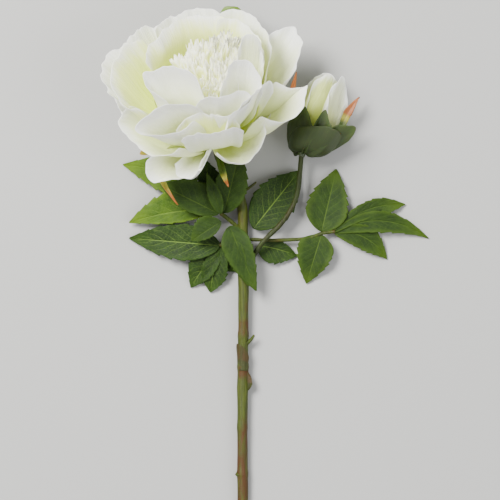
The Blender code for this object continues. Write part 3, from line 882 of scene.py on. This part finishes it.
# The narrow sepals are blades: the share of the length at which each turns orange, and then its base, tip,
# half widths, bend, widest and lift.
NARROW_SEPALS = {
    "sepal_east": (0.74, ((-27, 87.5, 25), (19.6, 125.5, 41), (1.9, 1.9), -14, 0.84, 0)),
    "sepal_south": (0.80, ((-31, 82, 22), (-23.6, 52.5, 36), (2.1, 2.1), -1.5, 0.62, 0)),
    "sepal_hanging": (0.84, ((-34, 84.5, 24), (-56.0, 41, 32), (3.6, 3.6), -26, 0.74, 0)),
    "bud_sepal_thin": (0.50, ((47, 82, 13), (60.5, 110.5, 13), (2.6, 2.6), 2.5, 0.55, 0)),
}
# Each leaflet: its finish, and its blades in the same way. Each lobe is a blade of its own.
LEAFLETS = {
    "upper_left_leaflet_far": (LIGHT_LEAF, [((-40, 44, 6), (-91.8, 67.2, 0.8), (11, 11), -5, 0.45, 1)]),
    "upper_left_leaflet_low": (LIGHT_LEAF, [((-33, 38.5, 8.5), (-87.7, 29.8, 4), (7, 14), -2, 0.42, 1.5)]),
    "upper_left_leaflet_dark": (DARK_LEAF, [((-30, 35.5, 14.5), (-67.5, 54, 16), (7.5, 13.5), 0, 0.45, 2)]),
    "upper_left_leaflet_narrow": (DARK_LEAF, [
        ((-28.5, 35.5, 19), (-37.6, 61.4, 23), (4.3, 4.3), 0, 0.4, 1)]),
    "upper_left_leaflet_bent": (DARK_LEAF, [((-28.5, 30.5, 17), (-47.5, 18, 15), (5, 9.5), 0, 0.45, 1.5)]),
    "upper_leaflet_right": (DARK_LEAF, [((-26.5, 36, 13), (-16.3, 76, 25.5), (10.5, 10.5), 0, 0.42, 1)]),
    "upper_leaflet_left": (LEAF, [((-31, 40, 9), (-40, 71, 13), (8, 8), 0, 0.45, -1)]),
    "lower_left_leaflet_long": (LEAF, [((-29, 15, 7.5), (-87.7, 19.8, 0.8), (11.5, 12), 0, 0.40, 2)]),
    "lower_left_leaflet_lobed": (LEAF, [
        ((-28.5, 14, 6.6), (-48, -12, 1.0), (7.5, 10), -1, 0.5, 1),
        ((-28.5, 14, 7.0), (-35.5, -15, 1.0), (9, 8), -1, 0.55, 1.2),
        ((-28.5, 14, 6.8), (-19.8, -1.7, 1.6), (5.5, 8), 1, 0.55, 1)]),
    "lower_left_leaflet_front": (DARK_LEAF, [
        ((-23, 27.5, 14), (-5.9, -14, 13), (9, 10), 0, 0.28, 1),
        ((-23, 27.5, 13.6), (-10.5, -11, 12.6), (4, 8), 0, 0.4, 1)]),
    "middle_leaflet_large": (LEAF, [((-7.6, 26, 6.5), (22, 63.4, 4), (14, 13.5), 0, 0.42, 1)]),
    "middle_leaflet_small": (LEAF, [((-5, 15, 4), (20.2, 8.6, 0.8), (6, 10), 1, 0.4, 0.5)]),
    "right_leaflet_up": (RIGHT_LEAF, [((36.2, 24, 6), (45.7, 64.3, 0.8), (13.5, 13.5), 0, 0.33, 1.5)]),
    "right_leaflet_down": (RIGHT_LEAF, [((36, 22, 6), (26.5, -9.4, 0.8), (11, 12.5), 0, 0.28, 1.5)]),
    "right_leaflet_lobed": (RIGHT_LEAF, [
        ((44.5, 24, 6.6), (90.2, 41.6, 1.2), (5.5, 6), 5.5, 0.66, 1),
        ((44.5, 24, 6.2), (105.2, 19.8, 0.9), (6.5, 7.5), 9, 0.45, 1),
        ((44.5, 24, 5.8), (78.4, 6.6, 0.9), (8, 8), 5.5, 0.5, 1)]),
}


def make_blade(name, blade, thickness, chance, columns=24, rows=72, teeth=0, rounds=0):
    piece, across, along = new_sheet(name, columns, rows)
    set_points(piece, blade_points(across, along, *blade, teeth, chance))
    give_wall(piece, thickness, rounds)
    return piece


def make_narrow_sepals():
    for order, (node, (tip_start, blade)) in enumerate(NARROW_SEPALS.items()):
        chance = np.random.default_rng(SEEDS["narrow_sepal"] + order)
        piece = make_blade(node + "_blade", blade, SEPAL_THICKNESS, chance, columns=12, rows=48)
        finish_piece(piece, orange_tipped(tip_start), "sepal", node)


def make_leaflets():
    for order, (node, (finish, blades)) in enumerate(LEAFLETS.items()):
        chance = np.random.default_rng(SEEDS["leaflet"] + order)
        name = node + "_blade"
        lobes = [make_blade(name, blade, LEAF_THICKNESS, chance, teeth=LEAF_TEETH) for blade in blades]
        finish_piece(join(lobes, name), finish, "leaf", node)


# -------- stems
def close_ends(piece):
    """Sews up a tube's seam and fills its open ends."""
    only(piece)
    bpy.ops.object.mode_set(mode="EDIT")
    bpy.ops.mesh.select_all(action="SELECT")
    bpy.ops.mesh.remove_doubles(threshold=0.00001)
    bpy.ops.mesh.select_all(action="DESELECT")
    bpy.ops.mesh.select_non_manifold()
    bpy.ops.mesh.edge_face_add()
    bpy.ops.mesh.select_all(action="SELECT")
    bpy.ops.mesh.normals_make_consistent(inside=False)
    bpy.ops.object.mode_set(mode="OBJECT")


def tube_piece(name, route, radius_at, sides=20):
    """A round piece along a route. radius_at gives its radius from the share of the way and the angle."""
    piece, across, along = new_sheet(name, sides, len(route) - 1)
    order = np.rint(along * (len(route) - 1)).astype(int)
    ahead = np.gradient(route, axis=0)
    ahead /= np.linalg.norm(ahead, axis=1, keepdims=True)
    side = np.cross(ahead, [0.0, 0.0, 1.0])
    side /= np.linalg.norm(side, axis=1, keepdims=True)
    up = np.cross(side, ahead)
    angle = math.pi * across
    radius = radius_at(along, angle)
    sideways = (radius * np.cos(angle))[:, None] * side[order]
    upwards = (radius * np.sin(angle))[:, None] * up[order]
    set_points(piece, route[order] + sideways + upwards)
    close_ends(piece)
    return piece


def lumpy(radius, knots=()):
    """The radius along a wavy stem that swells at each of its knots."""
    def radius_at(along, angle):
        waves = 0.03 * np.sin(23.0 * along + 2.0 * angle) + 0.02 * np.sin(61.0 * along - 3.0 * angle)
        result = radius * (1.0 + waves)
        for place, swelling, spread in knots:
            result = result * (1.0 + swelling * np.exp(-(((along - place) / spread) ** 2)))
        return result
    return radius_at


def tapered(radius):
    """The radius along a peg that narrows from its foot to its tip."""
    return lambda along, angle: radius * (1.5 - 0.7 * along)


STEM_RADIUS = 3.4
# The main stem starts this far down the bloom's axis from its base, and then runs through the points.
STEM_DROPS = (11.4, 18.0)
STEM_ROUTE = [
    (-22.5, 60.0, 13.0), (-15.5, 42.0, 8.5), (-14.4, 20.0, 6.5), (-14.2, -30.0, 5.0), (-14.8, -100.0, 4.2),
    (-14.4, -167.0, 3.5),
]
# Knots along the main stem: share of the way, swelling and spread.
STEM_KNOTS = [
    (0.505, 0.12, 0.010), (0.585, 0.14, 0.008), (0.64, 0.05, 0.02), (0.74, 0.08, 0.010),
    (0.86, 0.12, 0.008),
]
# Each stalk: the points of its route, its radius and its finish.
STALKS = {
    "bud_stem": ([(-8.0, 8.0, 9.5), (-1.0, 18.0, 11.5), (11.8, 31.4, 12.5), (20.0, 47.0, 13.5),
                  (23.0, 71.4, 15.5), (23.9, 74.5, 16.2)], 1.6, BUD_STALK),
    "right_leaf_stalk": ([(-9.8, 19.0, 7.0), (6.0, 18.5, 6.5), (25.0, 19.5, 6.0), (37.0, 23.0, 6.0),
                          (45.0, 24.2, 6.4)], 1.15, LEAF_STALK),
    "upper_left_stalk": ([(-15.5, 25.0, 7.5), (-25.0, 33.0, 11.0), (-28.5, 35.5, 14.5)], 1.3, LEAF_STALK),
    "lower_left_stalk": ([(-15.5, 21.0, 7.0), (-24.0, 17.5, 7.5), (-29.5, 15.0, 7.5)], 1.3, LEAF_STALK),
}
# Two pegs left by cut side shoots, and a knot: start, end and radius, and how far each middle bows out.
STEM_PEGS = {
    "upper_peg": ((-17.5, 48.0, 10.2), (-5.8, 55.8, 11.5), 0.8),
    "middle_peg": ((-12.5, -48.5, 5.2), (-7.2, -42.6, 6.4), 0.9),
    "lower_knot": ((-16.5, -133.0, 4.6), (-19.0, -131.6, 5.6), 1.3),
}
PEG_BOW = np.array((0.3, -0.3, 0.2))


def make_main_stem():
    neck = [BLOOM.base - drop * BLOOM.axis - SHIFT for drop in STEM_DROPS]
    route = at_share(smooth_route(neck + STEM_ROUTE, 16), np.linspace(0.0, 1.0, 141)) + SHIFT
    piece = tube_piece("main_stem_skin", route, lumpy(STEM_RADIUS, STEM_KNOTS))
    finish_piece(piece, STEM, "stem", "main_stem")


def make_stalks():
    for node, (points, radius, finish) in STALKS.items():
        piece = tube_piece(node + "_skin", smooth_route(points, 10) + SHIFT, lumpy(radius), sides=14)
        finish_piece(piece, finish, "stem", node)


def make_stem_pegs():
    for name, (start, end, radius) in STEM_PEGS.items():
        middle = (np.array(start) + np.array(end)) / 2.0 + PEG_BOW
        route = smooth_route([start, middle, end], 5) + SHIFT
        finish_piece(tube_piece(name, route, tapered(radius), sides=10), LEAF_STALK, "stem")


def wrapped_points(across, along, foot, height, radius, first, last, slant):
    """A sheath that hugs the main stem from its foot up, between two angles round the stem, in degrees.

    slant is how much lower its last side is than its first, as a share of its height.
    """
    angle = np.radians(first + (last - first) * (across + 1.0) / 2.0)
    reach = height * along * (1.0 - slant * (across + 1.0) / 2.0) * (1.0 - 0.35 * np.abs(across) ** 3)
    out = radius * (1.0 + 0.10 * along + 0.12 * along**4)
    foot = np.array(foot) + SHIFT
    return foot + np.stack([out * np.sin(angle), reach, out * np.cos(angle)], axis=1)


# A small scale on the main stem, as base, tip, half widths, bend, widest and lift.
STEM_SCALE = ((-11.8, -78.5, 5.5), (-11.4, -66.0, 6.2), (1.0, 3.4), 0, 0.45, 0.4)


def make_stem_scales():
    piece, across, along = new_sheet("stem_sheath", columns=24, rows=20)
    set_points(piece, wrapped_points(across, along, foot=(-14.3, -65.5, 4.6), height=20.0, radius=3.6,
                                     first=-105.0, last=60.0, slant=0.35))
    give_wall(piece, SCALE_THICKNESS, rounds=1)
    finish_piece(piece, SHEATH, "stem")
    chance = np.random.default_rng(SEEDS["stem_scale"])
    piece = make_blade("stem_scale", STEM_SCALE, SCALE_THICKNESS, chance, columns=10, rows=16, rounds=1)
    finish_piece(piece, SHEATH, "stem")


def finish_kept_nodes():
    """Gives a green finish to the two nodes that keep the frame's own meshes."""
    for node in ("receptacle", "bud_calyx_base"):
        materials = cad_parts[node].data.materials
        materials.clear()
        materials.append(GREEN_SEPAL)


# -------- floor, lights and camera, in metres
def make_floor():
    low, _ = CAD_BOX
    deselect()
    bpy.ops.mesh.primitive_plane_add(size=6.0, location=(0.0, 0.0, low[2]))
    floor = bpy.context.active_object
    floor.name = "pale_floor"
    finish, _, _ = new_material("pale_floor", {"Roughness": 0.8, "Base Color": (0.36, 0.36, 0.35, 1)})
    floor.data.materials.append(finish)


def add_light(name, place, size, power, colour):
    """A round light, with its power in watts, that shines towards the origin."""
    deselect()
    bpy.ops.object.light_add(type="AREA", location=place)
    lamp = bpy.context.active_object
    lamp.name = name
    lamp.data.shape = "DISK"
    lamp.data.size = size
    lamp.data.energy = power
    lamp.data.color = colour
    aim = -np.array(place) / np.linalg.norm(place)
    lamp.rotation_euler = Vector(aim).to_track_quat("-Z", "Y").to_euler()


def make_lights():
    add_light("soft_key", (-0.9, 0.8, 1.5), size=0.9, power=104.0, colour=(1.0, 0.99, 0.97))
    add_light("soft_fill", (1.2, -0.4, 1.2), size=1.2, power=18.0, colour=(0.96, 0.98, 1.0))
    world = bpy.data.worlds.new("studio")
    bpy.context.scene.world = world
    world.use_nodes = True
    background = world.node_tree.nodes["Background"]
    background.inputs["Color"].default_value = (1, 1, 1, 1)
    background.inputs["Strength"].default_value = 0.85


# What the camera looks at and how much it takes in, in millimetres; its distance is in metres.
VIEW_MIDDLE = np.array((-9.9, 12.2, 25.0))
VIEW_WIDTH = 320.0
CAMERA_DISTANCE = 3.2
SENSOR = 36.0


def make_camera():
    """Looks straight down on the flower and the upper part of the stem."""
    place = (VIEW_MIDDLE + SHIFT) * MM + (0.0, 0.0, CAMERA_DISTANCE)
    deselect()
    bpy.ops.object.camera_add(location=place, rotation=(0.0, 0.0, 0.0))
    camera = bpy.context.active_object
    camera.data.sensor_width = SENSOR
    camera.data.lens = SENSOR * CAMERA_DISTANCE / (VIEW_WIDTH * MM)
    bpy.context.scene.camera = camera


# -------- the scene
make_bloom_petals()
make_bud()
make_tuft()
make_narrow_sepals()
make_leaflets()
make_main_stem()
make_stalks()
make_stem_pegs()
make_stem_scales()
finish_kept_nodes()
make_floor()
make_lights()
make_camera()
